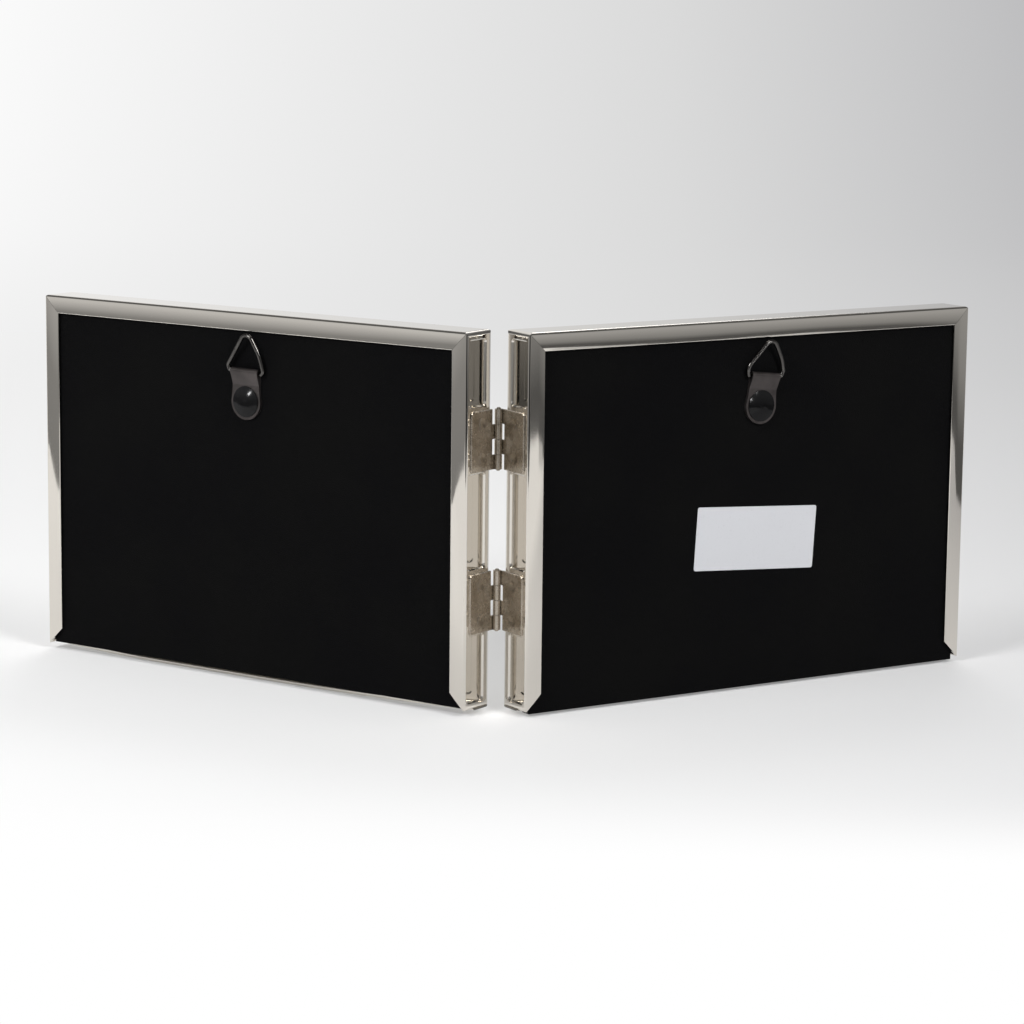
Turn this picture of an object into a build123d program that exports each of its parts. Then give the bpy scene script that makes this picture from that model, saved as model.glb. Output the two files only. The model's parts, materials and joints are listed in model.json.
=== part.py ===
from build123d import *
import os
from math import asin, cos, degrees, radians, sin, tan

os.makedirs("parts", exist_ok=True)

# Two equal panels, each for a print laid on its long side, stand in a V on a table
frame_width = 160.0
frame_height = 110.0
fold_angle = 113.1
corner_radius = 1.5

# Sheet metal rail: a bezel in front, a web round the edge and a flange behind
sheet = 0.8
bezel_width = 6.0
flange_width = 5.5
front_radius = 2.0
rear_radius = 0.7
crown_angle = 4.5
edge_rounding = 0.25
mitre_gap = 0.06

# Bottom rail: it has no rear flange and sags to a flat foot, beyond its middle as seen from the hinge
foot_length = 44.0
foot_offset = 15.0
foot_drop = {"left": 1.4, "right": 0.8}

# Pressed groove in the wall beside the hinges, left out behind each hinge
groove_start = 3.6
groove_width = 8.2
groove_depth = 0.5
groove_end_margin = 2.5
groove_radius = 1.0
groove_taper = 20.0
groove_bevel = 0.25
pad_above = 1.5
pad_below = 0.45

# Hinges: knuckles rolled from the leaf round a loose pin
pin_to_wall = 1.15
pin_to_front = 1.3
hinge_length = 17.6
hinge_spread = 47.0
hinge_rise = -0.3
knuckle_count = 4
knuckle_gap = 0.15
leaf_sheet = 0.45
leaf_reach = 12.25
leaf_notch = 2.05
leaf_radius = 1.0
leaf_bevel = 0.2
curl_slit = 0.12
dent_spread = 10.0
dent_radius = 1.75
dent_depth = 0.3
pin_clearance = 0.05
pin_overhang = 0.4
pin_chamfer = 0.25

# What the frame holds, from the front
glass_thickness = 2.0
card_thickness = 0.4
filler_thickness = 4.7
board_thickness = 3.0
cover_thickness = 0.5
slide_clearance = 0.3
side_clearance = 0.7
board_rise = {"left": 0.9, "right": -0.5}

# Hanger: a folded strap riveted to the back below its top edge, with a wire ring in its fold
hanger_offset = {"left": 0.6, "right": 1.8}
hanger_drop = {"left": 26.6, "right": 25.8}
hanger_lean = {"left": -0.8, "right": 6.5}
strap_sheet = 0.45
strap_radius = 5.45
strap_waist = 10.0
fold_width = 10.3
fold_distance = 9.0
fold_height = 1.15
fold_neck = 3.0
ring_wire = 1.1
ring_flat_count = 12
ring_width = 13.2
ring_height = 11.0
ring_lean = 8.0
ring_bend = 0.9
ring_leg_bend = 3.0
ring_apex_bend = 2.2
ring_clearance = 0.05
rivet_head = 9.3
rivet_edge = 0.25
rivet_dome = 0.75
rivet_shank = 4.0
rivet_clinch = 6.0
rivet_clinch_height = 0.5
rivet_clearance = 0.05
washer_width = 9.0
washer_thickness = 0.5
washer_clearance = 0.5

# Corners of each ring's wire, as shares of the ring's width and height, and the bends between its ends
ring_shares = {
    "left": (
        (0.265, 0),
        (0.451, 0),
        (0.489, 0.155),
        (-0.126, 1.195),
        (-0.447, 0.455),
        (-0.511, 0.027),
        (-0.436, -0.045),
    ),
    "right": (
        (0.265, 0),
        (0.439, 0),
        (0.477, 0.164),
        (0.379, 0.473),
        (0.008, 1.088),
        (-0.515, 0.191),
        (-0.447, -0.045),
    ),
}
ring_bends = {
    "left": (ring_bend, ring_bend, ring_apex_bend, ring_leg_bend, ring_bend),
    "right": (ring_bend, ring_bend, ring_leg_bend, ring_apex_bend, ring_bend),
}

# Paper label on the right-hand back
label_width = 43.7
label_height = 19.0
label_thickness = 0.12
label_offset = 1.5
label_drop = 10.6
label_turn = -3.5
label_radius = 0.6

square_turn = 90.0

# Places that follow from the sizes above
half_fold = radians(fold_angle / 2)
half_height = frame_height / 2
knuckle_radius = pin_to_wall
bore_radius = knuckle_radius - leaf_sheet
pin_radius = bore_radius - pin_clearance
knuckle_pitch = hinge_length / knuckle_count
hinge_middles = {
    "upper": half_height + hinge_spread / 2 + hinge_rise,
    "lower": half_height - hinge_spread / 2 + hinge_rise,
}

# Depths from the front, one piece behind the other
glass_rear = sheet + glass_thickness
card_rear = glass_rear + card_thickness
stack_rear = card_rear + filler_thickness
board_front = stack_rear + slide_clearance
board_rear = board_front + board_thickness
cover_rear = board_rear + cover_thickness
flange_start = rear_radius * (1 - sin(radians(crown_angle)))
crown_height = (flange_width - flange_start) / 2 * tan(radians(crown_angle / 2))
frame_depth = cover_rear + slide_clearance + sheet + crown_height
rear_arc_depth = frame_depth - crown_height - rear_radius * cos(radians(crown_angle))

stack_margin = sheet + groove_depth + side_clearance
stack_width = frame_width - 2 * stack_margin

fold_radius = ring_wire / 2 + ring_clearance + strap_sheet
fold_start = fold_distance - fold_radius - fold_neck
dent_ball = (dent_radius**2 + dent_depth**2) / (2 * dent_depth)
dome_rise = rivet_dome - rivet_edge
dome_radius = ((rivet_head / 2) ** 2 + dome_rise**2) / (2 * dome_rise)
clinch_room = washer_thickness + rivet_clinch_height + rivet_clearance

# The pin stands so that the whole object is centred from front to back
far_edge = (
    (pin_to_wall + frame_width - front_radius) * cos(half_fold)
    - (pin_to_front + front_radius) * sin(half_fold)
    + front_radius
)
near_edge = (
    (pin_to_wall + rear_radius) * cos(half_fold)
    - (pin_to_front + rear_arc_depth) * sin(half_fold)
    - rear_radius
)
pin_foot = Vector(0, -(far_edge + near_edge) / 2, max(foot_drop.values()))

# Directions of the right-hand panel; the left-hand one is its mirror image
across = Vector(sin(half_fold), cos(half_fold), 0)
rearward = Vector(cos(half_fold), -sin(half_fold), 0)
up = Vector(0, 0, 1)


def place(wide, high, deep):
    """Point on the panel, measured from its wall at the hinge, its bottom and its front."""
    return pin_foot + across * (pin_to_wall + wide) + up * high + rearward * (pin_to_front + deep)


def rear_plane(deep):
    """Plane of the panel seen from behind, at a depth from its front."""
    return Plane(origin=place(0, 0, deep), x_dir=across, z_dir=rearward)


def pin_plane(high):
    """Level plane at the pin, with x across the panel and y rearward, facing down."""
    return Plane(origin=pin_foot + up * high, x_dir=across, z_dir=-up)


def wall_plane(high):
    """Plane of the wall at the hinge, with x rearward from the pin and y up, facing the pin."""
    return Plane(origin=pin_foot + across * pin_to_wall + up * high, x_dir=rearward, z_dir=-across)


def mitre_plane(wide, high, to_side, to_top):
    """Cut through a corner of the panel, facing the piece that is kept."""
    facing = (across * to_side + up * to_top).normalized()
    return Plane(origin=place(wide, high, 0) + facing * (mitre_gap / 2), z_dir=facing)


def write(piece, name, side="right"):
    """Sets a piece on its side of the pin, labels it and writes it."""
    with BuildPart() as placed:
        add(piece.part)
        if side == "left":
            mirror(about=Plane.YZ, mode=Mode.REPLACE)
    placed.part.label = name
    export_step(placed.part, f"parts/{name}.step")


def full_section(plane):
    """Section of a rail with bezel, web and slightly domed flange."""
    with BuildSketch(plane) as section:
        with BuildLine():
            face = Line((bezel_width, 0), (front_radius, 0))
            front = JernArc(face @ 1, face % 1, front_radius, -square_turn)
            web = Line(front @ 1, (0, rear_arc_depth))
            rear = JernArc(web @ 1, web % 1, rear_radius, crown_angle - square_turn)
            TangentArc(rear @ 1, (flange_width, (rear @ 1).Y), tangent=rear % 1)
            offset(amount=sheet, side=Side.RIGHT)
        make_face()
        rims = section.vertices().filter_by_position(Axis.X, bezel_width / 2, bezel_width)
        fillet(rims, edge_rounding)
    return section.sketch


def open_section(plane):
    """Section of the bottom rail, whose web stops short of the sliding back."""
    with BuildSketch(plane) as section:
        with BuildLine():
            face = Line((bezel_width, 0), (front_radius, 0))
            front = JernArc(face @ 1, face % 1, front_radius, -square_turn)
            Line(front @ 1, (0, stack_rear))
            offset(amount=sheet, side=Side.RIGHT)
        make_face()
    return section.sketch


def rounded_panel():
    """Outline of the panel from behind, with its rounded corners."""
    with BuildSketch(rear_plane(0)) as outline:
        with Locations((frame_width / 2, half_height)):
            RectangleRounded(frame_width, frame_height, corner_radius)
    return outline.sketch


# Rails
def top_rail():
    start = Plane(origin=place(frame_width, frame_height, 0), x_dir=-up, z_dir=-across)
    with BuildPart() as rail:
        extrude(full_section(start), amount=frame_width)
        split(bisect_by=mitre_plane(0, frame_height, 1, 1), keep=Keep.TOP)
        split(bisect_by=mitre_plane(frame_width, frame_height, -1, 1), keep=Keep.TOP)
        extrude(rounded_panel(), amount=frame_depth, mode=Mode.INTERSECT)
    return rail


def bottom_rail(side):
    drop = foot_drop[side]
    inner_run = (frame_width - foot_length) / 2 + foot_offset
    outer_run = frame_width - foot_length - inner_run
    foot_start = Plane(origin=place(inner_run, -drop, 0), x_dir=up, z_dir=across)
    foot_end = Plane(origin=place(inner_run + foot_length, -drop, 0), x_dir=up, z_dir=across)
    with BuildPart() as rail:
        extrude(open_section(foot_start), amount=foot_length)
        for end, run, turn in ((foot_start, inner_run, -1), (foot_end, outer_run, 1)):
            sag_radius = (run**2 + drop**2) / (2 * drop)
            sag_angle = degrees(asin(run / sag_radius))
            sag_axis = Axis(end.origin + up * sag_radius, rearward)
            revolve(open_section(end), axis=sag_axis, revolution_arc=turn * sag_angle)
        split(bisect_by=mitre_plane(0, 0, 1, -1), keep=Keep.TOP)
        split(bisect_by=mitre_plane(frame_width, 0, -1, -1), keep=Keep.TOP)
    return rail


def outer_stile():
    start = Plane(origin=place(frame_width, 0, 0), x_dir=-across, z_dir=up)
    with BuildPart() as stile:
        extrude(full_section(start), amount=frame_height)
        split(bisect_by=mitre_plane(frame_width, frame_height, 1, -1), keep=Keep.TOP)
        split(bisect_by=mitre_plane(frame_width, 0, 1, 1), keep=Keep.TOP)
        extrude(rounded_panel(), amount=frame_depth, mode=Mode.INTERSECT)
    return stile


def groove_spans():
    """Bottom and top of each stretch of the groove, between the hinge pads."""
    edges = [groove_end_margin]
    for middle in sorted(hinge_middles.values()):
        edges += [middle - hinge_length / 2 - pad_below, middle + hinge_length / 2 + pad_above]
    edges.append(frame_height - groove_end_margin)
    return list(zip(edges[0::2], edges[1::2]))


def hinge_stile():
    start = Plane(origin=place(0, frame_height, 0), x_dir=across, z_dir=-up)
    with BuildPart() as stile:
        extrude(full_section(start), amount=frame_height)
        split(bisect_by=mitre_plane(0, frame_height, -1, -1), keep=Keep.TOP)
        split(bisect_by=mitre_plane(0, 0, -1, 1), keep=Keep.TOP)
        extrude(rounded_panel(), amount=frame_depth, mode=Mode.INTERSECT)
        for low, high in groove_spans():
            wall = wall_plane((low + high) / 2)
            middle = pin_to_front + groove_start + groove_width / 2
            with BuildSketch(wall.offset(-sheet)):
                with Locations((middle, 0)):
                    Rectangle(groove_width, high - low)
            extrude(amount=-groove_depth, taper=groove_taper)
            with BuildSketch(wall):
                with Locations((middle, 0)):
                    RectangleRounded(groove_width, high - low, groove_radius)
            extrude(amount=-groove_depth, taper=groove_taper, mode=Mode.SUBTRACT)
            rims = stile.edges(Select.LAST).filter_by(wall).group_by(Axis(wall.origin, across))
            chamfer(rims[0], groove_bevel)
    return stile


# Stack behind the bezel
def sheet_piece(front, rear, rise):
    """Flat piece that fills the frame from side to side, at a height above the frame's bottom."""
    with BuildPart() as piece:
        with BuildSketch(rear_plane(front)):
            with Locations((stack_margin, rise)):
                Rectangle(stack_width, frame_height - 2 * rise - side_clearance, align=Align.MIN)
        extrude(amount=rear - front)
    return piece


# Sliding back
def back_outline(side):
    """Outline of the back, short of the top rail and open at the bottom."""
    rise = board_rise[side]
    with BuildSketch(Plane.XY) as outline:
        with Locations((stack_margin, rise)):
            Rectangle(stack_width, frame_height - sheet - slide_clearance - rise, align=Align.MIN)
    return outline.sketch


def hanger_plane(side, deep):
    """Plane at the rivet, with y up the strap, facing rearward."""
    lean = radians(hanger_lean[side])
    strap_across = across * cos(lean) - up * sin(lean)
    origin = place(frame_width / 2 + hanger_offset[side], frame_height - hanger_drop[side], deep)
    return Plane(origin=origin, x_dir=strap_across, z_dir=rearward)


def back_board(side):
    with BuildPart() as board:
        extrude(rear_plane(board_front) * back_outline(side), amount=board_thickness)
        inner_face = hanger_plane(side, board_front)
        with Locations(Plane(origin=inner_face.origin, x_dir=inner_face.x_dir, z_dir=-rearward)):
            CounterBoreHole(
                radius=rivet_shank / 2 + rivet_clearance,
                counter_bore_radius=washer_width / 2 + washer_clearance,
                counter_bore_depth=clinch_room,
                depth=board_thickness,
            )
    return board


def back_cover(side):
    with BuildPart() as cover:
        extrude(rear_plane(board_rear) * back_outline(side), amount=cover_thickness)
        with Locations(hanger_plane(side, cover_rear)):
            Hole(radius=rivet_shank / 2 + rivet_clearance, depth=cover_thickness)
    return cover


def hanger_strap(side):
    flat = hanger_plane(side, cover_rear)
    with BuildPart() as strap:
        with BuildSketch(Plane(origin=flat.origin, x_dir=flat.y_dir, z_dir=flat.x_dir)):
            with Locations((fold_distance, fold_height)):
                Circle(fold_radius)
            with Locations((fold_start, 0)):
                Rectangle(strap_sheet, 2 * strap_sheet, align=Align.MIN)
            make_hull()
            with Locations((-strap_radius, 0)):
                Rectangle(strap_radius + fold_start, 2 * strap_sheet, align=Align.MIN)
            with Locations((fold_distance, fold_height)):
                Circle(fold_radius - strap_sheet, mode=Mode.SUBTRACT)
        extrude(amount=strap_radius, both=True)
        with BuildSketch(flat):
            with BuildLine():
                end = fold_distance + fold_radius
                waist = (strap_waist / 2, fold_distance / 2)
                ThreePointArc((strap_radius, 0), waist, (fold_width / 2, end))
                Line((fold_width / 2, end), (0, end))
                mirror(about=Plane.YZ)
                ThreePointArc((-strap_radius, 0), (0, -strap_radius), (strap_radius, 0))
            make_face()
        extrude(amount=fold_height + fold_radius, mode=Mode.INTERSECT)
        with Locations(flat.offset(2 * strap_sheet)):
            Hole(radius=rivet_shank / 2 + rivet_clearance, depth=2 * strap_sheet)
    return strap


def hanger_rivet(side):
    flat = hanger_plane(side, cover_rear)
    seat = 2 * strap_sheet
    washer_face = -cover_thickness - board_thickness + clinch_room - washer_thickness
    with BuildPart() as rivet:
        with BuildSketch(Plane(origin=flat.origin, x_dir=flat.x_dir, z_dir=-flat.y_dir)):
            with BuildLine():
                Polyline(
                    (0, seat + rivet_dome),
                    (0, washer_face - rivet_clinch_height),
                    (rivet_clinch / 2, washer_face - rivet_clinch_height),
                    (rivet_clinch / 2, washer_face),
                    (rivet_shank / 2, washer_face),
                    (rivet_shank / 2, seat),
                    (rivet_head / 2, seat),
                    (rivet_head / 2, seat + rivet_edge),
                )
                RadiusArc((rivet_head / 2, seat + rivet_edge), (0, seat + rivet_dome), -dome_radius)
            make_face()
        revolve(axis=Axis(flat.origin, rearward))
    return rivet


def rivet_washer(side):
    seat = cover_rear - cover_thickness - board_thickness + clinch_room
    with BuildPart() as washer:
        with BuildSketch(hanger_plane(side, seat)):
            Circle(washer_width / 2)
            Circle(rivet_shank / 2 + rivet_clearance, mode=Mode.SUBTRACT)
        extrude(amount=-washer_thickness)
    return washer


def hanger_ring(side):
    flat = hanger_plane(side, cover_rear)
    lean = radians(ring_lean)
    facing = rearward * cos(lean) - flat.y_dir * sin(lean)
    pivot = flat.origin + flat.y_dir * fold_distance + rearward * fold_height
    corners = [(wide * ring_width, high * ring_height) for wide, high in ring_shares[side]]
    with BuildLine(Plane(origin=pivot, x_dir=flat.x_dir, z_dir=facing)) as wire:
        FilletPolyline(*corners, radius=list(ring_bends[side]))
    with BuildPart() as ring:
        for stretch in wire.edges():
            with BuildSketch(Plane(origin=stretch @ 0, z_dir=stretch % 0)) as section:
                RegularPolygon(ring_wire / 2, ring_flat_count)
            if stretch.geom_type == GeomType.LINE:
                extrude(section.sketch, amount=stretch.length)
            else:
                spin = (stretch @ 0 - stretch.arc_center).cross(stretch % 0)
                turn = degrees(stretch.length / stretch.radius)
                revolve(section.sketch, axis=Axis(stretch.arc_center, spin), revolution_arc=turn)
    return ring


def back_label():
    with BuildPart() as label:
        with BuildSketch(rear_plane(cover_rear)):
            middle = (frame_width / 2 + label_offset, half_height - label_drop, 0)
            with Locations(Location(middle, (0, 0, label_turn))):
                RectangleRounded(label_width, label_height, label_radius)
        extrude(amount=label_thickness)
    return label


# Hinges
def knuckle_section(plane):
    """Leaf end rolled round the pin, with the slit where its edge comes back to the leaf."""
    with BuildSketch(plane) as section:
        Circle(knuckle_radius)
        Circle(bore_radius, mode=Mode.SUBTRACT)
        with Locations((bore_radius, 0)):
            Rectangle(leaf_sheet, leaf_notch, align=Align.MIN)
        with Locations((bore_radius, 0)):
            Rectangle(curl_slit, knuckle_radius, align=(Align.MAX, Align.MIN), mode=Mode.SUBTRACT)
    return section.sketch


def hinge_leaf(middle, first_knuckle):
    """Leaf with every second knuckle, counted from the top, on the wall of its panel."""
    wall = wall_plane(middle)
    with BuildPart() as leaf:
        with BuildSketch(wall) as plate:
            with Locations((leaf_notch, 0)):
                Rectangle(leaf_reach - leaf_notch, hinge_length, align=(Align.MIN, Align.CENTER))
            fillet(plate.vertices().group_by(Axis.X)[-1], leaf_radius)
        extrude(amount=leaf_sheet)
        rims = leaf.edges().group_by(Axis(wall.origin, across))[0]
        chamfer(rims.sort_by(Axis(wall.origin, rearward))[1:], leaf_bevel)
        top = middle + hinge_length / 2
        for knuckle in range(first_knuckle, knuckle_count, 2):
            level = top - knuckle * knuckle_pitch - knuckle_gap / 2
            extrude(knuckle_section(pin_plane(level)), amount=knuckle_pitch - knuckle_gap)
        dent_across = (leaf_notch + leaf_reach) / 2
        with Locations(wall.offset(leaf_sheet - dent_depth + dent_ball)):
            with Locations((dent_across, -dent_spread / 2), (dent_across, dent_spread / 2)):
                Sphere(dent_ball, mode=Mode.SUBTRACT)
    return leaf


def hinge_pin(middle):
    with BuildPart() as pin:
        with BuildSketch(pin_plane(middle)):
            Circle(pin_radius)
        extrude(amount=hinge_length / 2 + pin_overhang, both=True)
        chamfer(pin.edges().filter_by(GeomType.CIRCLE), pin_chamfer)
    return pin


for side in ("left", "right"):
    write(top_rail(), f"{side}_top_rail", side)
    write(bottom_rail(side), f"{side}_bottom_rail", side)
    write(hinge_stile(), f"{side}_hinge_stile", side)
    write(outer_stile(), f"{side}_outer_stile", side)
    write(sheet_piece(sheet, glass_rear, front_radius), f"{side}_glass", side)
    write(sheet_piece(glass_rear, card_rear, sheet), f"{side}_insert_card", side)
    write(sheet_piece(card_rear, stack_rear, sheet), f"{side}_filler_pad", side)
    write(back_board(side), f"{side}_back_board", side)
    write(back_cover(side), f"{side}_back_cover", side)
    write(hanger_strap(side), f"{side}_hanger_strap", side)
    write(hanger_rivet(side), f"{side}_hanger_rivet", side)
    write(rivet_washer(side), f"{side}_rivet_washer", side)
    write(hanger_ring(side), f"{side}_hanger_ring", side)
write(back_label(), "right_label")

for level, middle in hinge_middles.items():
    write(hinge_leaf(middle, 0), f"{level}_hinge_right_leaf")
    write(hinge_leaf(middle, 1), f"{level}_hinge_left_leaf", "left")
    write(hinge_pin(middle), f"{level}_hinge_pin")

print("pin axis", tuple(round(c, 3) for c in pin_foot))
print("across", tuple(round(c, 6) for c in across), "rearward", tuple(round(c, 6) for c in rearward))
for side in ("left", "right"):
    flat = hanger_plane(side, cover_rear)
    pivot = flat.origin + flat.y_dir * fold_distance + rearward * fold_height
    print(side, "ring pivot", tuple(round(c, 4) for c in pivot))
    print(side, "ring axis", tuple(round(c, 5) for c in flat.x_dir))
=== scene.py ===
"""Hinged double photo frame in polished nickel, standing in a V on a paper sweep and seen from behind."""

import json
import logging
import math
from dataclasses import dataclass, field
from enum import Enum

import bpy
from mathutils import Matrix, Vector


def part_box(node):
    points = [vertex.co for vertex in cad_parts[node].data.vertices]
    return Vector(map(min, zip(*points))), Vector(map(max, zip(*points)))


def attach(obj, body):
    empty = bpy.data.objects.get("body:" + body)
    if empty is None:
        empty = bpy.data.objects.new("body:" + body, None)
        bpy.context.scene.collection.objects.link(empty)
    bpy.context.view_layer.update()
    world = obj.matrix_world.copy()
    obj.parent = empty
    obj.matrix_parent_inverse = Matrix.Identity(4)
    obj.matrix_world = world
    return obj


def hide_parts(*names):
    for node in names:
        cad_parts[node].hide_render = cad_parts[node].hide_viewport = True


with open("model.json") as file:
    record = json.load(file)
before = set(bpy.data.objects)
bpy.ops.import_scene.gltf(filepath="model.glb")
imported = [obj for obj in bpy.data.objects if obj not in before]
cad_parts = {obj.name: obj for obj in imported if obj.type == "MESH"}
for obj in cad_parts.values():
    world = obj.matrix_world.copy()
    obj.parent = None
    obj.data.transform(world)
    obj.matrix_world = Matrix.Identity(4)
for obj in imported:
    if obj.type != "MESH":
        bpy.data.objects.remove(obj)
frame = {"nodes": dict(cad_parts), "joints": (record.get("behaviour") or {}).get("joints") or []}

log = logging.getLogger("photo_frame")
MM = 0.001


class Side(Enum):
    """Panel of the double frame, with the sign of its X coordinates."""

    LEFT = -1
    RIGHT = 1

    @property
    def word(self) -> str:
        """Start of the names of the panel's nodes and bodies."""
        return self.name.lower()


class Level(Enum):
    """Hinge of the pair."""

    UPPER = "upper"
    LOWER = "lower"


def linear(code: str) -> tuple[float, float, float, float]:
    """Turns an sRGB hex value into a linear colour.

    Args:
        code: Six hex digits, red first.

    Returns:
        Red, green, blue and alpha.
    """
    channels = [int(code[i : i + 2], 16) / 255 for i in (0, 2, 4)]
    return (*(c / 12.92 if c <= 0.04045 else ((c + 0.055) / 1.055) ** 2.4 for c in channels), 1.0)


def add_node(
    tree: bpy.types.NodeTree, kind: str, settings: dict | None = None, **links: bpy.types.NodeSocket
) -> bpy.types.Node:
    """Adds a node with its settings and what feeds it.

    Args:
        tree: Tree that gets the node.
        kind: Type name of the node.
        settings: Property names with their values, and input names or numbers with theirs.
        links: Input names, with spaces as underscores, or numbers after the letter n, with the sockets
            that feed them.

    Returns:
        The new node.
    """
    node = tree.nodes.new(kind)
    for name, value in (settings or {}).items():
        if isinstance(name, str) and hasattr(node, name):
            setattr(node, name, value)
        else:
            node.inputs[name].default_value = value
    for name, socket in links.items():
        key = int(name[1:]) if name[1:].isdigit() else name.replace("_", " ")
        tree.links.new(socket, node.inputs[key])
    return node


def new_material(name: str) -> tuple[bpy.types.Material, bpy.types.NodeTree]:
    """Makes a material with an empty node tree.

    Args:
        name: Name of the material.

    Returns:
        The material and its tree.
    """
    material = bpy.data.materials.new(name)
    material.use_nodes = True
    material.node_tree.nodes.clear()
    return material, material.node_tree


def joint_named(name: str) -> dict:
    """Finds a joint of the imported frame.

    Args:
        name: Name of the joint.

    Returns:
        The joint's values.
    """
    return next(joint for joint in frame["joints"] if joint["name"] == name)


def ramp(
    tree: bpy.types.NodeTree, factor: bpy.types.NodeSocket, stops: dict[float, str]
) -> bpy.types.NodeSocket:
    """Colours a factor by stops.

    Args:
        tree: Tree that gets the ramp.
        factor: Socket from 0 to 1.
        stops: Places with their sRGB hex values, in order.

    Returns:
        The colour's socket.
    """
    node = add_node(tree, "ShaderNodeValToRGB", Fac=factor)
    elements = node.color_ramp.elements
    while len(elements) < len(stops):
        elements.new(0.5)
    for element, (place, code) in zip(elements, stops.items()):
        element.position = place
        element.color = linear(code)
    return node.outputs["Color"]


@dataclass(frozen=True)
class Finish:
    """A surface with one colour, its roughness and a fine bump; the other finishes build on it."""

    name: str
    slot: str
    colour: str
    roughness: float
    metallic: float = 0.0
    bump_size: float = 1.0
    bump_height: float = 0.01
    settings: dict = field(default_factory=dict)

    def place(self, tree: bpy.types.NodeTree) -> bpy.types.NodeSocket:
        """Object coordinates in millimetres."""
        coordinates = add_node(tree, "ShaderNodeTexCoord")
        scale = (1 / MM, 1 / MM, 1 / MM)
        mapping = add_node(tree, "ShaderNodeMapping", {"Scale": scale}, Vector=coordinates.outputs["Object"])
        return mapping.outputs["Vector"]

    def noise(
        self, tree: bpy.types.NodeTree, place: bpy.types.NodeSocket, size: float, detail: float = 2.0
    ) -> bpy.types.NodeSocket:
        """Noise whose features are about a size in millimetres.

        Args:
            tree: Tree that gets the noise.
            place: Coordinates in millimetres.
            size: Size of its features in millimetres.
            detail: Octaves.

        Returns:
            The factor's socket.
        """
        settings = {"Scale": 1 / size, "Detail": detail}
        return add_node(tree, "ShaderNodeTexNoise", settings, Vector=place).outputs["Fac"]

    def colour_socket(
        self, tree: bpy.types.NodeTree, place: bpy.types.NodeSocket
    ) -> bpy.types.NodeSocket | None:
        """Colour that varies over the surface, or None for one colour all over."""
        return None

    def roughness_socket(
        self, tree: bpy.types.NodeTree, place: bpy.types.NodeSocket
    ) -> bpy.types.NodeSocket | None:
        """Roughness that varies over the surface, or None for one value all over."""
        return None

    def bump_socket(self, tree: bpy.types.NodeTree, place: bpy.types.NodeSocket) -> bpy.types.NodeSocket:
        """Normal from the fine bump."""
        height = self.noise(tree, place, self.bump_size)
        settings = {"Distance": self.bump_height * MM, "Strength": 1.0}
        return add_node(tree, "ShaderNodeBump", settings, Height=height).outputs["Normal"]

    def build(self) -> bpy.types.Material:
        """Makes the material.

        Returns:
            The material, under the finish's name.
        """
        material, tree = new_material(self.name)
        place = self.place(tree)
        settings = {"Base Color": linear(self.colour), "Roughness": self.roughness, "Metallic": self.metallic}
        shader = add_node(tree, "ShaderNodeBsdfPrincipled", {**settings, **self.settings})
        sockets = {
            "Base Color": self.colour_socket(tree, place),
            "Roughness": self.roughness_socket(tree, place),
            "Normal": self.bump_socket(tree, place),
        }
        for name, socket in sockets.items():
            if socket is not None:
                tree.links.new(socket, shader.inputs[name])
        add_node(tree, "ShaderNodeOutputMaterial", Surface=shader.outputs["BSDF"])
        return material


@dataclass(frozen=True)
class PolishedNickel(Finish):
    """Nickel plating on rolled steel strip, buffed to a mirror.

    The eye sees the room in it, bent a little by the strip's slow waves, with a warm tint and a trace of haze
    where it was handled.
    """

    wave_size: float = 26.0
    wave_height: float = 0.02
    haze_size: float = 9.0
    haze_span: tuple[float, float] = (0.35, 0.8)
    haze_gain: float = 2.0

    def roughness_socket(self, tree: bpy.types.NodeTree, place: bpy.types.NodeSocket) -> bpy.types.NodeSocket:
        """Mirror with faint patches of haze."""
        haze = self.noise(tree, place, self.haze_size, 4.0)
        low, high = self.haze_span
        limits = {
            "From Min": low,
            "From Max": high,
            "To Min": self.roughness,
            "To Max": self.roughness * self.haze_gain,
        }
        return add_node(tree, "ShaderNodeMapRange", limits, Value=haze).outputs["Result"]

    def bump_socket(self, tree: bpy.types.NodeTree, place: bpy.types.NodeSocket) -> bpy.types.NodeSocket:
        """Slow waves of the strip under a fine orange peel."""
        waves = self.noise(tree, place, self.wave_size, 0.0)
        settings = {"Distance": self.wave_height * MM, "Strength": 1.0}
        slow = add_node(tree, "ShaderNodeBump", settings, Height=waves)
        peel = self.noise(tree, place, self.bump_size)
        settings = {"Distance": self.bump_height * MM, "Strength": 1.0}
        both = add_node(tree, "ShaderNodeBump", settings, Height=peel, Normal=slow.outputs["Normal"])
        return both.outputs["Normal"]


@dataclass(frozen=True)
class SatinNickel(Finish):
    """Thin nickel or oil on pressed steel, left as it came from the barrel.

    The eye sees a soft satin with blotches of a second shade, a little glossier where it was handled.
    """

    stain: str = "A49A8C"
    stain_size: float = 4.5
    stain_span: tuple[float, float] = (0.35, 0.7)
    wear_range: tuple[float, float] = (0.7, 1.3)

    def colour_socket(self, tree: bpy.types.NodeTree, place: bpy.types.NodeSocket) -> bpy.types.NodeSocket:
        """Warm stains over the plating."""
        stains = self.noise(tree, place, self.stain_size, 3.0)
        low, high = self.stain_span
        return ramp(tree, stains, {low: self.stain, high: self.colour})

    def roughness_socket(self, tree: bpy.types.NodeTree, place: bpy.types.NodeSocket) -> bpy.types.NodeSocket:
        """Satin that is glossier where it was handled."""
        wear = self.noise(tree, place, self.stain_size / 2, 3.0)
        low, high = self.wear_range
        limits = {"To Min": self.roughness * low, "To Max": self.roughness * high}
        return add_node(tree, "ShaderNodeMapRange", limits, Value=wear).outputs["Result"]


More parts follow.
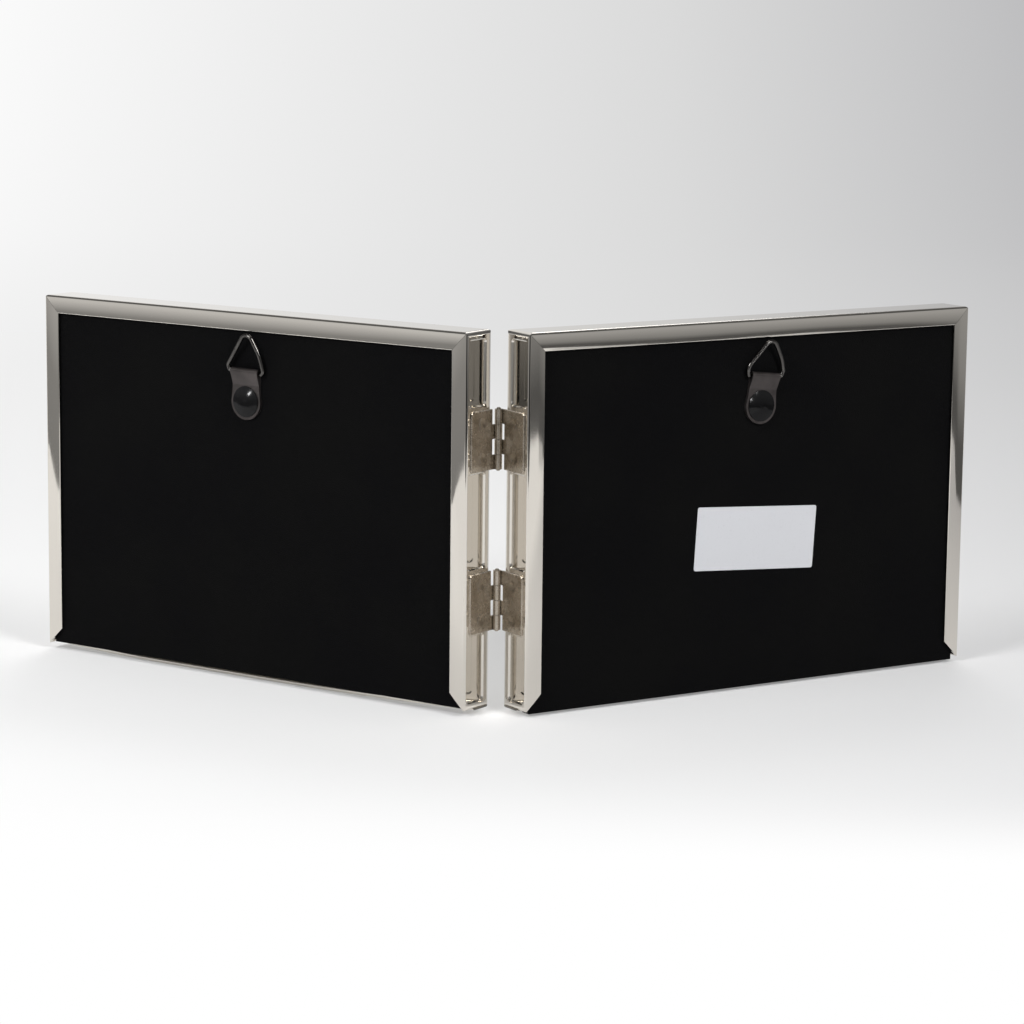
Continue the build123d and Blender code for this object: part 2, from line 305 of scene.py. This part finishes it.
@dataclass(frozen=True)
class VelvetPile(Finish):
    """Short black rayon pile on a backing cloth.

    The eye sees it drink the light, while its tips catch a little at a low angle.
    """

    brushed: str = "060606"
    brush_size: float = 30.0
    brush_span: tuple[float, float] = (0.4, 0.65)

    def colour_socket(self, tree: bpy.types.NodeTree, place: bpy.types.NodeSocket) -> bpy.types.NodeSocket:
        """Broad strokes where the pile leans another way."""
        strokes = self.noise(tree, place, self.brush_size, 3.0)
        low, high = self.brush_span
        return ramp(tree, strokes, {low: self.colour, high: self.brushed})


@dataclass(frozen=True)
class Mottled(Finish):
    """Paper, board or paint with a second colour in fine flecks."""

    fleck: str = "808080"
    fleck_size: float = 0.6
    fleck_span: tuple[float, float] = (0.6, 0.8)

    def colour_socket(self, tree: bpy.types.NodeTree, place: bpy.types.NodeSocket) -> bpy.types.NodeSocket:
        """Flecks of the second colour."""
        flecks = self.noise(tree, place, self.fleck_size, 4.0)
        low, high = self.fleck_span
        return ramp(tree, flecks, {low: self.colour, high: self.fleck})


@dataclass(frozen=True)
class FluteBoard(Finish):
    """Corrugated board: brown liners with flutes that show at its edges as fine stripes."""

    flute: str = "7A684E"
    flute_pitch: float = 2.4
    flute_wobble: float = 0.4
    flute_span: tuple[float, float] = (0.3, 0.8)

    def colour_socket(self, tree: bpy.types.NodeTree, place: bpy.types.NodeSocket) -> bpy.types.NodeSocket:
        """Stripes one flute apart."""
        settings = {
            "wave_type": "BANDS",
            "bands_direction": "X",
            "Scale": 1 / self.flute_pitch,
            "Distortion": self.flute_wobble,
        }
        bands = add_node(tree, "ShaderNodeTexWave", settings, Vector=place)
        low, high = self.flute_span
        return ramp(tree, bands.outputs["Fac"], {low: self.flute, high: self.colour})


# Polished nickel strip: metal that mirrors the sweep
NICKEL_STRIP = PolishedNickel(
    "nickel_strip_polished", "polished_metal", "D8D3CB", 0.04, 1.0, bump_size=0.8, bump_height=0.0006
)
# Barrel-plated steel: the hinge leaves
HINGE_STEEL = SatinNickel(
    "hinge_steel_barrel_nickel", "hinge_nickel", "BEB5A9", 0.27, 1.0, bump_size=0.35, bump_height=0.003
)
# Drawn wire: the hinge pins
PIN_WIRE = SatinNickel(
    "pin_wire_drawn", "pin_steel", "B5AFA5", 0.25, 1.0, bump_size=0.2, bump_height=0.002
)
# Rayon velvet glued over the back board
VELVET = VelvetPile(
    "velvet_rayon_black",
    "black_velvet",
    "040405",
    0.95,
    bump_size=0.35,
    bump_height=0.12,
    settings={"Sheen Weight": 0.01, "Sheen Roughness": 0.5, "Specular IOR Level": 0.08},
)
# Dyed fibreboard under the velvet
BLACK_BOARD = Mottled(
    "fibreboard_dyed_black",
    "black_board",
    "101010",
    0.85,
    bump_size=0.5,
    bump_height=0.05,
    fleck="1E1C1A",
)
# Float glass over the print
GLASS = Finish(
    "float_glass_clear",
    "clear_glass",
    "F4F8F6",
    0.0,
    bump_size=40.0,
    bump_height=0.002,
    settings={"Transmission Weight": 1.0, "IOR": 1.5},
)
# Uncoated card where the print goes
CARD = Mottled(
    "card_uncoated_white", "card", "ECEAE4", 0.7, bump_size=0.4, bump_height=0.01, fleck="E2DFD6"
)
# Corrugated pad between card and back
FILLER = FluteBoard(
    "board_corrugated_brown", "filler", "A58F6D", 0.8, bump_size=0.6, bump_height=0.03
)
# Oiled steel of the hanger strap
STRAP = SatinNickel(
    "strap_steel_gunmetal",
    "strap_metal",
    "565150",
    0.42,
    0.9,
    bump_size=0.25,
    bump_height=0.004,
    stain="464241",
)
# Stove enamel on the rivet's head
RIVET_ENAMEL = Finish(
    "rivet_enamel_black",
    "rivet_black",
    "09090A",
    0.1,
    bump_size=1.2,
    bump_height=0.004,
    settings={"Specular IOR Level": 0.2},
)
# Nickel-plated spring wire of the rings
RING_WIRE = SatinNickel(
    "ring_wire_bright_nickel",
    "ring_wire",
    "605E5C",
    0.2,
    1.0,
    bump_size=0.3,
    bump_height=0.002,
    stain="504E4C",
)
# Zinc-plated washer inside the back
WASHER = SatinNickel(
    "washer_steel_zinc", "washer_steel", "B9BBBD", 0.3, 1.0, bump_size=0.3, stain="9FA2A6"
)
# Matt label stock, left blank
LABEL = Mottled(
    "label_paper_matt", "label_paper", "C5C6CA", 0.55, bump_size=0.2, bump_height=0.004, fleck="BCBDC1"
)


@dataclass
class Dresser:
    """Gives CAD nodes their finishes, each material made once."""

    made: dict[str, bpy.types.Material] = field(default_factory=dict)

    def material(self, finish: Finish) -> bpy.types.Material:
        """Material of a finish, built at its first use."""
        if finish.name not in self.made:
            self.made[finish.name] = finish.build()
        return self.made[finish.name]

    def dress(self, node: str, finish: Finish) -> None:
        """Puts a finish in every slot of a CAD node.

        Args:
            node: Name of the node.
            finish: Its finish.
        """
        mesh = frame["nodes"][node].data
        if not mesh.materials:
            mesh.materials.append(None)
        for index in range(len(mesh.materials)):
            mesh.materials[index] = self.material(finish)
        log.info("%s dressed in %s", node, finish.name)


@dataclass
class Panel:
    """One photo frame: its rails and what they hold."""

    side: Side
    rails: tuple[str, ...] = ("top_rail", "bottom_rail", "hinge_stile", "outer_stile")

    def dress(self, dresser: Dresser) -> None:
        """Dresses the rails and the stack between them, and lets the lamps reach the card behind the glass.

        Args:
            dresser: Holder of the materials.
        """
        for rail in self.rails:
            dresser.dress(f"{self.side.word}_{rail}", NICKEL_STRIP)
        stack = {"glass": GLASS, "insert_card": CARD, "filler_pad": FILLER}
        for name, finish in stack.items():
            dresser.dress(f"{self.side.word}_{name}", finish)
        pane = frame["nodes"][f"{self.side.word}_glass"]
        pane.visible_shadow = False
        pane.visible_diffuse = False


@dataclass
class Back:
    """Sliding back with its hanger strap, rivet and, on the right, its label."""

    side: Side

    def dress(self, dresser: Dresser) -> None:
        """Dresses the board, its cover and what is riveted and stuck to it.

        Args:
            dresser: Holder of the materials.
        """
        pieces = {
            "back_board": BLACK_BOARD,
            "back_cover": VELVET,
            "hanger_strap": STRAP,
            "hanger_rivet": RIVET_ENAMEL,
            "rivet_washer": WASHER,
        }
        for name, finish in pieces.items():
            dresser.dress(f"{self.side.word}_{name}", finish)
        if self.side is Side.RIGHT:
            dresser.dress("right_label", LABEL)


@dataclass
class Hinge:
    """One of the two butt hinges."""

    level: Level

    def dress(self, dresser: Dresser) -> None:
        """Dresses the leaves and the pin.

        Args:
            dresser: Holder of the materials.
        """
        for side in Side:
            dresser.dress(f"{self.level.value}_hinge_{side.word}_leaf", HINGE_STEEL)
        dresser.dress(f"{self.level.value}_hinge_pin", PIN_WIRE)


@dataclass
class WireTree:
    """Geometry Nodes that run round wire along a chain of corners and bend it at each one."""

    name: str = "bent_wire"
    sockets: dict[str, str] = field(default_factory=dict)
    tree: bpy.types.NodeTree | None = None

    def build(self) -> None:
        """Makes the tree, with inputs for the wire's diameter, its bends and its finish."""
        tree = bpy.data.node_groups.new(self.name, "GeometryNodeTree")
        tree.interface.new_socket("Geometry", in_out="INPUT", socket_type="NodeSocketGeometry")
        kinds = {
            "Diameter": "NodeSocketFloat",
            "Steps": "NodeSocketInt",
            "Sides": "NodeSocketInt",
            "Finish": "NodeSocketMaterial",
        }
        for name, kind in kinds.items():
            self.sockets[name] = tree.interface.new_socket(name, in_out="INPUT", socket_type=kind).identifier
        tree.interface.new_socket("Geometry", in_out="OUTPUT", socket_type="NodeSocketGeometry")
        given = add_node(tree, "NodeGroupInput").outputs
        line = add_node(tree, "GeometryNodeMeshToCurve", Mesh=given["Geometry"])
        bend = add_node(tree, "GeometryNodeInputNamedAttribute", {"data_type": "FLOAT", "Name": "bend"})
        rounded = add_node(
            tree,
            "GeometryNodeFilletCurve",
            {"mode": "POLY", "Limit Radius": True},
            Curve=line.outputs["Curve"],
            Radius=bend.outputs["Attribute"],
            Count=given["Steps"],
        )
        half = add_node(tree, "ShaderNodeMath", {"operation": "MULTIPLY", 1: 0.5}, n0=given["Diameter"])
        section = add_node(
            tree, "GeometryNodeCurvePrimitiveCircle", Resolution=given["Sides"], Radius=half.outputs[0]
        )
        wire = add_node(
            tree,
            "GeometryNodeCurveToMesh",
            {"Fill Caps": True},
            Curve=rounded.outputs["Curve"],
            Profile_Curve=section.outputs["Curve"],
        )
        real = add_node(tree, "GeometryNodeRealizeInstances", Geometry=wire.outputs["Mesh"])
        dressed = add_node(
            tree, "GeometryNodeSetMaterial", Geometry=real.outputs["Geometry"], Material=given["Finish"]
        )
        add_node(tree, "NodeGroupOutput", Geometry=dressed.outputs["Geometry"])
        self.tree = tree

    def run(self, name: str, corners: list[Vector], bends: list[float], values: dict) -> bpy.types.Object:
        """Bends a wire and leaves it as a plain mesh.

        Args:
            name: Name of the piece.
            corners: Corners of the wire, its ends among them.
            bends: Radius of the bend at each corner, 0 at the ends.
            values: Values of the tree's inputs.

        Returns:
            The finished object.
        """
        if self.tree is None:
            self.build()
        chain = bpy.data.meshes.new(f"{name}_chain")
        chain.from_pydata(corners, [(i, i + 1) for i in range(len(corners) - 1)], [])
        chain.attributes.new("bend", "FLOAT", "POINT").data.foreach_set("value", bends)
        draft = bpy.data.objects.new(f"{name}_draft", chain)
        bpy.context.collection.objects.link(draft)
        modifier = draft.modifiers.new("wire", "NODES")
        modifier.node_group = self.tree
        for key, value in values.items():
            modifier[self.sockets[key]] = value
        bpy.context.view_layer.update()
        graph = bpy.context.evaluated_depsgraph_get()
        mesh = bpy.data.meshes.new_from_object(draft.evaluated_get(graph))
        bpy.data.objects.remove(draft)
        mesh.name = name
        mesh.polygons.foreach_set("use_smooth", [True] * len(mesh.polygons))
        made = bpy.data.objects.new(name, mesh)
        bpy.context.collection.objects.link(made)
        return made


@dataclass
class Ring:
    """Wire ring that hangs from the strap's fold, with lengths in millimetres and angles in degrees."""

    side: Side
    wire: float = 1.2
    width: float = 13.2
    height: float = 11.0
    lean: float = 8.0
    bend: float = 0.9
    leg_bend: float = 12.0
    apex_bend: float = 2.2
    hook_bend: float = 3.2
    bend_steps: int = 12
    wire_sides: int = 24

    def shares(self) -> tuple[tuple[float, float], ...]:
        """Corners as shares of the width and height, from the fold round the apex and back into the fold."""
        if self.side is Side.LEFT:
            return (
                (0.265, 0.0),
                (0.451, 0.0),
                (0.489, 0.155),
                (-0.126, 1.195),
                (-0.447, 0.455),
                (-0.511, 0.027),
                (-0.436, -0.045),
            )
        return (
            (0.265, 0.0),
            (0.439, 0.0),
            (0.477, 0.164),
            (0.379, 0.473),
            (0.008, 1.088),
            (-0.515, 0.191),
            (-0.447, -0.045),
        )

    def bends(self) -> list[float]:
        """Bend at each corner, none at the ends."""
        if self.side is Side.LEFT:
            return [0.0, self.bend, self.bend, self.apex_bend, self.leg_bend, self.bend, 0.0]
        return [0.0, self.bend, self.bend, self.leg_bend, self.apex_bend, self.hook_bend, 0.0]

    def build(self, dresser: Dresser, wires: WireTree) -> None:
        """Bends the ring where its joint is, in place of the CAD ring.

        Args:
            dresser: Holder of the materials.
            wires: Maker of bent wire.
        """
        node = f"{self.side.word}_hanger_ring"
        joint = joint_named(f"{self.side.word}_ring_swing")
        pivot = Vector(joint["pos_m"])
        along = Vector(joint["axis"]).normalized() * self.side.value
        rearward = along.cross(Vector((0.0, 0.0, 1.0))).normalized()
        if rearward.y > 0:
            rearward.negate()
        upward = along.cross(rearward)
        if upward.z < 0:
            upward.negate()
        lean = math.radians(self.lean)
        leaning = upward * math.cos(lean) + rearward * math.sin(lean)
        corners = [
            pivot + (along * wide * self.width + leaning * high * self.height) * MM
            for wide, high in self.shares()
        ]
        bends = [bend * MM for bend in self.bends()]
        values = {
            "Diameter": self.wire * MM,
            "Steps": self.bend_steps,
            "Sides": self.wire_sides,
            "Finish": dresser.material(RING_WIRE),
        }
        ring = wires.run(f"{self.side.word}_ring_wire", corners, bends, values)
        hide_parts(node)
        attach(ring, f"{self.side.word}_ring")
        low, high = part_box(node)
        log.info("%s bent in %d faces, CAD box %s %s", ring.name, len(ring.data.polygons), low, high)


@dataclass
class Camera:
    """The photographer's place, with angles in degrees and lengths in millimetres from the pin's foot."""

    azimuth: float = -1.117
    elevation: float = 9.561
    roll: float = 0.625
    distance: float = 975.2
    target: tuple[float, float, float] = (4.13, 0.0, 58.4)
    lens: float = 119.14
    sensor: float = 36.0
    clip: float = 10.0

    def build(self, pin_y: float) -> None:
        """Makes the scene's camera.

        Args:
            pin_y: Y of the hinge pins, in metres.
        """
        turn, rise, roll = (math.radians(a) for a in (self.azimuth, self.elevation, self.roll))
        level = math.cos(rise)
        ahead = Vector((math.sin(turn) * level, math.cos(turn) * level, -math.sin(rise)))
        right = Vector((math.cos(turn), -math.sin(turn), 0.0))
        above = right.cross(ahead)
        rolled_right = math.cos(roll) * right + math.sin(roll) * above
        rolled_above = math.cos(roll) * above - math.sin(roll) * right
        target = Vector(self.target) * MM + Vector((0.0, pin_y, 0.0))
        data = bpy.data.cameras.new("camera")
        data.lens = self.lens
        data.sensor_width = self.sensor
        data.clip_start = self.clip * MM
        camera = bpy.data.objects.new("camera", data)
        axes = Matrix((rolled_right, rolled_above, -ahead)).transposed().to_4x4()
        camera.matrix_world = Matrix.Translation(target - ahead * self.distance * MM) @ axes
        bpy.context.collection.objects.link(camera)
        bpy.context.scene.camera = camera


# Painted shade of the sweep, darker from left to right as if lit from the left: the wall, and the floor near
# the object
WALL_PAINTED_SHADE = {0.0: "FAFAFA", 0.6: "DADADA", 1.0: "B6B6B8"}
FLOOR_PAINTED_SHADE = {0.0: "FFFFFF", 0.5: "F0F0F0", 1.0: "BEBEC0"}
# Painted shades of the glowing grey card from its foot up, on the left and on the right; it shows only as
# painted reflections in the metal
GLOW_CARD_LEFT = {0.0: "8C8C8C", 0.12: "949494", 0.3: "DCDCDC", 0.48: "D8D8D8", 0.64: "606060", 1.0: "404040"}
GLOW_CARD_RIGHT = {
    0.0: "5A5A5A",
    0.06: "5C5C5C",
    0.14: "929292",
    0.3: "B2B2B2",
    0.48: "C0C0C0",
    0.64: "606060",
    1.0: "404040",
}
# Painted shade that darkens the glowing card behind the camera, from left to right
GLOW_CARD_MIDDLE_SHADE = {0.33: "FFFFFF", 0.38: "383838", 0.62: "484848", 0.66: "FFFFFF"}
# Glowing pale card, a painted reflection along the lower edge of the right top flange
SLIP_GLOW_SHADE = "D0D0D0"
# Shades of the room from the horizon up
ROOM_SHADES = {0.0: "FFFFFF", 0.06: "E0E0E0", 0.18: "D0D0D0", 0.32: "606060", 0.8: "707070", 1.0: "C0C0C0"}


@dataclass(frozen=True)
class Lamp:
    """Area lamp that faces the hangers, with metres, watts and the turn of its long side in degrees."""

    name: str
    place: tuple[float, float, float]
    size: tuple[float, float]
    power: float
    roll: float = 0.0
    aim: tuple[float, float, float] = (0.0, 0.0, 0.06)

    def build(self) -> bpy.types.Object:
        """Hangs the lamp.

        Returns:
            The lamp's object.
        """
        data = bpy.data.lights.new(self.name, "AREA")
        data.shape = "RECTANGLE"
        data.size, data.size_y = self.size
        data.energy = self.power
        made = bpy.data.objects.new(self.name, data)
        facing = (Vector(self.aim) - Vector(self.place)).to_track_quat("-Z", "Y").to_matrix().to_4x4()
        roll = Matrix.Rotation(math.radians(self.roll), 4, "Z")
        made.matrix_world = Matrix.Translation(self.place) @ facing @ roll
        bpy.context.collection.objects.link(made)
        return made


@dataclass(frozen=True)
class Slit(Lamp):
    """Small bright lamp that only shows as a spark in the rings' wire and the rivets' enamel."""

    size: tuple[float, float] = (0.034, 0.013)
    power: float = 0.08

    def set_on(self, pieces: bpy.types.Collection) -> None:
        """Sets the slit up so that it lights some pieces alone.

        Args:
            pieces: The pieces that it lights.
        """
        slit = self.build()
        slit.visible_diffuse = False
        slit.visible_transmission = False
        slit.light_linking.receiver_collection = pieces


@dataclass
class Studio:
    """Paper sweep, lamps, cards and world, in metres."""

    sweep_front: float = -1.6
    sweep_back: float = 1.5
    sweep_radius: float = 0.7
    sweep_height: float = 2.6
    sweep_width: float = 5.0
    sweep_steps: int = 24
    wall_reach: float = 0.48
    floor_reach: float = 0.45
    wall_fade: tuple[float, float] = (0.15, 0.9)
    front_fade: tuple[float, float] = (-0.1, -0.2)
    glow_share: float = 0.3
    card_height: float = 0.36
    card_reach: float = 0.6
    card_turn: tuple[float, float] = (0.47, 0.53)
    card_path: tuple[tuple[float, float], ...] = (
        (-0.62, 0.12),
        (-0.6, 0.0),
        (-0.505, -0.043),
        (-0.443, -0.069),
        (-0.372, -0.141),
        (-0.4, -0.187),
        (-0.415, -0.243),
        (-0.42, -0.42),
        (-0.2, -0.47),
        (0.2, -0.47),
        (0.385, -0.42),
        (0.45, -0.37),
        (0.53, -0.277),
        (0.48, -0.19),
        (0.6, -0.165),
        (0.58, -0.12),
        (0.46, -0.05),
        (0.44, 0.0),
        (0.44, 0.12),
    )
    slip_height: float = 0.011
    slip_path: tuple[tuple[float, float], ...] = ((0.455, -0.188), (0.455, -0.232))
    lamps: tuple[Lamp, ...] = (
        Lamp("softbox_left", (-0.8, -0.9, 0.9), (0.5, 0.5), 13.0),
        Lamp("softbox_right", (0.8, -0.9, 0.9), (0.5, 0.5), 12.0),
        Lamp("softbox_front", (0.1, 1.0, 1.1), (0.6, 0.6), 5.0),
    )
    slits: tuple[Slit, ...] = (
        Slit("slit_left", (-0.35, -0.146, 0.109), roll=45.0),
        Slit("slit_right_near", (0.321, -0.229, 0.108), roll=-45.0),
        Slit("slit_right_far", (0.357, -0.184, 0.161), roll=-45.0),
    )

    def mesh_object(
        self, name: str, points: list[Vector], faces: list[tuple[int, ...]], material: bpy.types.Material
    ) -> bpy.types.Object:
        """Makes a stage object.

        Args:
            name: Name of the object.
            points: Its corners.
            faces: Its faces.
            material: Its material.

        Returns:
            The object, smooth shaded and marked as stage.
        """
        mesh = bpy.data.meshes.new(name)
        mesh.from_pydata(points, [], faces)
        mesh.polygons.foreach_set("use_smooth", [True] * len(faces))
        mesh.materials.append(material)
        made = bpy.data.objects.new(name, mesh)
        bpy.context.collection.objects.link(made)
        return made

    def across(
        self, tree: bpy.types.NodeTree, value: bpy.types.NodeSocket, reach: float
    ) -> bpy.types.NodeSocket:
        """Runs a coordinate evenly from 0 at minus a reach to 1 at the reach.

        Args:
            tree: Tree that gets the node.
            value: Socket of the coordinate.
            reach: Distance from the middle to each end.

        Returns:
            The result's socket.
        """
        limits = {"From Min": -reach, "From Max": reach}
        return add_node(tree, "ShaderNodeMapRange", limits, Value=value).outputs["Result"]

    def fade(
        self, tree: bpy.types.NodeTree, value: bpy.types.NodeSocket, ends: tuple[float, float]
    ) -> bpy.types.NodeSocket:
        """Runs a coordinate smoothly from 0 to 1.

        Args:
            tree: Tree that gets the node.
            value: Socket of the coordinate.
            ends: Places of 0 and 1.

        Returns:
            The result's socket.
        """
        low, high = ends
        limits = {"interpolation_type": "SMOOTHSTEP", "From Min": low, "From Max": high}
        return add_node(tree, "ShaderNodeMapRange", limits, Value=value).outputs["Result"]

    def larger(
        self, tree: bpy.types.NodeTree, first: bpy.types.NodeSocket, second: bpy.types.NodeSocket
    ) -> bpy.types.NodeSocket:
        """Takes the larger of two values.

        Args:
            tree: Tree that gets the node.
            first: Socket of one value.
            second: Socket of the other value.

        Returns:
            The result's socket.
        """
        return add_node(tree, "ShaderNodeMath", {"operation": "MAXIMUM"}, n0=first, n1=second).outputs[0]

    def sweep_material(self) -> bpy.types.Material:
        """Matt paper with painted shade, darker towards the right as if lit from the left.

        The eye and the metal see it a little brighter than the lamps make it, and white in front.

        Returns:
            The material.
        """
        material, tree = new_material("sweep_paper_matt")
        coordinates = add_node(tree, "ShaderNodeTexCoord")
        parts = add_node(tree, "ShaderNodeSeparateXYZ", Vector=coordinates.outputs["Object"]).outputs
        # Painted shade: the paper's colours fall off to the right in place of light from the left
        wall = ramp(tree, self.across(tree, parts["X"], self.wall_reach), WALL_PAINTED_SHADE)
        floor = ramp(tree, self.across(tree, parts["X"], self.floor_reach), FLOOR_PAINTED_SHADE)
        behind = self.fade(tree, parts["Y"], self.wall_fade)
        front = self.fade(tree, parts["Y"], self.front_fade)
        paper = add_node(tree, "ShaderNodeMix", {"data_type": "RGBA"}, n0=behind, n6=floor, n7=wall)
        white = {"data_type": "RGBA", 7: linear("FFFFFF")}
        colour = add_node(tree, "ShaderNodeMix", white, n0=front, n6=paper.outputs[2]).outputs[2]
        # The lit paper's own colour carries the painted shade that falls off to the right
        lit = add_node(tree, "ShaderNodeBsdfDiffuse", Color=floor)
        glow = add_node(tree, "ShaderNodeEmission", {"Strength": 1.0}, Color=colour)
        rays = add_node(tree, "ShaderNodeLightPath").outputs
        seen = self.larger(tree, rays["Is Camera Ray"], rays["Is Glossy Ray"])
        seen = self.larger(tree, seen, rays["Is Transmission Ray"])
        limits = {"To Min": self.glow_share, "To Max": 1.0}
        ends = self.larger(tree, behind, front)
        share = add_node(tree, "ShaderNodeMapRange", limits, Value=ends).outputs["Result"]
        share = add_node(tree, "ShaderNodeMath", {"operation": "MULTIPLY"}, n0=share, n1=seen).outputs[0]
        shader = add_node(
            tree, "ShaderNodeMixShader", n0=share, n1=lit.outputs["BSDF"], n2=glow.outputs["Emission"]
        )
        add_node(tree, "ShaderNodeOutputMaterial", Surface=shader.outputs["Shader"])
        return material

    def lay_sweep(self) -> None:
        """Lays the paper from in front of the object up the wall behind it."""
        profile = [(self.sweep_front, 0.0)]
        for step in range(self.sweep_steps + 1):
            angle = math.pi / 2 * step / self.sweep_steps
            along = self.sweep_back + math.sin(angle) * self.sweep_radius
            profile.append((along, (1 - math.cos(angle)) * self.sweep_radius))
        profile.append((self.sweep_back + self.sweep_radius, self.sweep_height))
        half = self.sweep_width / 2
        points = [Vector((x, y, z)) for y, z in profile for x in (-half, half)]
        faces = [(2 * i, 2 * i + 1, 2 * i + 3, 2 * i + 2) for i in range(len(profile) - 1)]
        self.mesh_object("paper_sweep", points, faces, self.sweep_material())

    def card_material(self) -> bpy.types.Material:
        """Glowing grey card with painted shade, darkest at its foot and behind the camera, and darker low
        down on the right.

        Returns:
            The material.
        """
        material, tree = new_material("card_grey")
        coordinates = add_node(tree, "ShaderNodeTexCoord")
        parts = add_node(tree, "ShaderNodeSeparateXYZ", Vector=coordinates.outputs["Object"]).outputs
        limits = {"From Max": self.card_height}
        height = add_node(tree, "ShaderNodeMapRange", limits, Value=parts["Z"]).outputs["Result"]
        width = self.across(tree, parts["X"], self.card_reach)
        sides = add_node(
            tree,
            "ShaderNodeMix",
            {"data_type": "RGBA"},
            n0=self.fade(tree, width, self.card_turn),
            n6=ramp(tree, height, GLOW_CARD_LEFT),
            n7=ramp(tree, height, GLOW_CARD_RIGHT),
        )
        settings = {"data_type": "RGBA", "blend_type": "MULTIPLY", 0: 1.0}
        middle = ramp(tree, width, GLOW_CARD_MIDDLE_SHADE)
        colour = add_node(tree, "ShaderNodeMix", settings, n6=sides.outputs[2], n7=middle).outputs[2]
        # The card glows though it is no lamp, so its colours are painted reflections in the metal
        shader = add_node(tree, "ShaderNodeEmission", {"Strength": 1.0}, Color=colour)
        add_node(tree, "ShaderNodeOutputMaterial", Surface=shader.outputs["Emission"])
        return material

    def slip_material(self) -> bpy.types.Material:
        """Glowing pale card of one shade, a painted reflection for the flange.

        Returns:
            The material.
        """
        material, tree = new_material("card_pale")
        # The slip glows though it is no lamp: a painted reflection in the flange
        settings = {"Strength": 1.0, "Color": linear(SLIP_GLOW_SHADE)}
        shader = add_node(tree, "ShaderNodeEmission", settings)
        add_node(tree, "ShaderNodeOutputMaterial", Surface=shader.outputs["Emission"])
        return material

    def stand_card(
        self, name: str, path: tuple[tuple[float, float], ...], height: float, material: bpy.types.Material
    ) -> None:
        """Stands a card on the floor, where only the metal and enamel see it as a reflection.

        Args:
            name: Name of the card.
            path: Corners of its foot.
            height: Height of the card.
            material: Its material.
        """
        points = [Vector((x, y, z)) for x, y in path for z in (0.0, height)]
        faces = [(2 * i, 2 * i + 2, 2 * i + 3, 2 * i + 1) for i in range(len(path) - 1)]
        card = self.mesh_object(name, points, faces, material)
        card.visible_camera = False
        card.visible_diffuse = False
        card.visible_shadow = False
        card.visible_transmission = False

    def surround(self) -> None:
        """Surrounds the scene with a dim room, brighter near the horizon."""
        world = bpy.data.worlds.new("room")
        world.use_nodes = True
        tree = world.node_tree
        tree.nodes.clear()
        coordinates = add_node(tree, "ShaderNodeTexCoord")
        parts = add_node(tree, "ShaderNodeSeparateXYZ", Vector=coordinates.outputs["Generated"])
        colour = ramp(tree, parts.outputs["Z"], ROOM_SHADES)
        room = add_node(tree, "ShaderNodeBackground", {"Strength": 1.0}, Color=colour)
        add_node(tree, "ShaderNodeOutputWorld", Surface=room.outputs["Background"])
        bpy.context.scene.world = world

    def sparkling(self) -> bpy.types.Collection:
        """Gathers the rings and rivets, which the slits light.

        Returns:
            A collection of them, outside the scene's own.
        """
        pieces = bpy.data.collections.new("sparkling")
        for side in Side:
            pieces.objects.link(frame["nodes"][f"{side.word}_hanger_rivet"])
            pieces.objects.link(bpy.data.objects[f"{side.word}_ring_wire"])
        return pieces

    def build(self) -> None:
        """Sets up the whole stage."""
        self.lay_sweep()
        self.stand_card("grey_card", self.card_path, self.card_height, self.card_material())
        self.stand_card("pale_slip", self.slip_path, self.slip_height, self.slip_material())
        self.surround()
        for lamp in self.lamps:
            lamp.build()
        pieces = self.sparkling()
        for slit in self.slits:
            slit.set_on(pieces)
        bpy.context.scene.view_settings.view_transform = "Standard"
        log.info("stage set with %d lamps and %d slits", len(self.lamps), len(self.slits))


def main() -> None:
    """Builds the scene piece by piece."""
    logging.basicConfig(level=logging.INFO, format="%(name)s: %(message)s")
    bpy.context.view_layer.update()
    pin_y = joint_named("fold")["pos_m"][1]
    dresser = Dresser()
    wires = WireTree()
    for side in Side:
        Panel(side).dress(dresser)
        Back(side).dress(dresser)
        Ring(side).build(dresser, wires)
    for level in Level:
        Hinge(level).dress(dresser)
    Camera().build(pin_y)
    Studio().build()


if __name__ == "__main__":
    main()
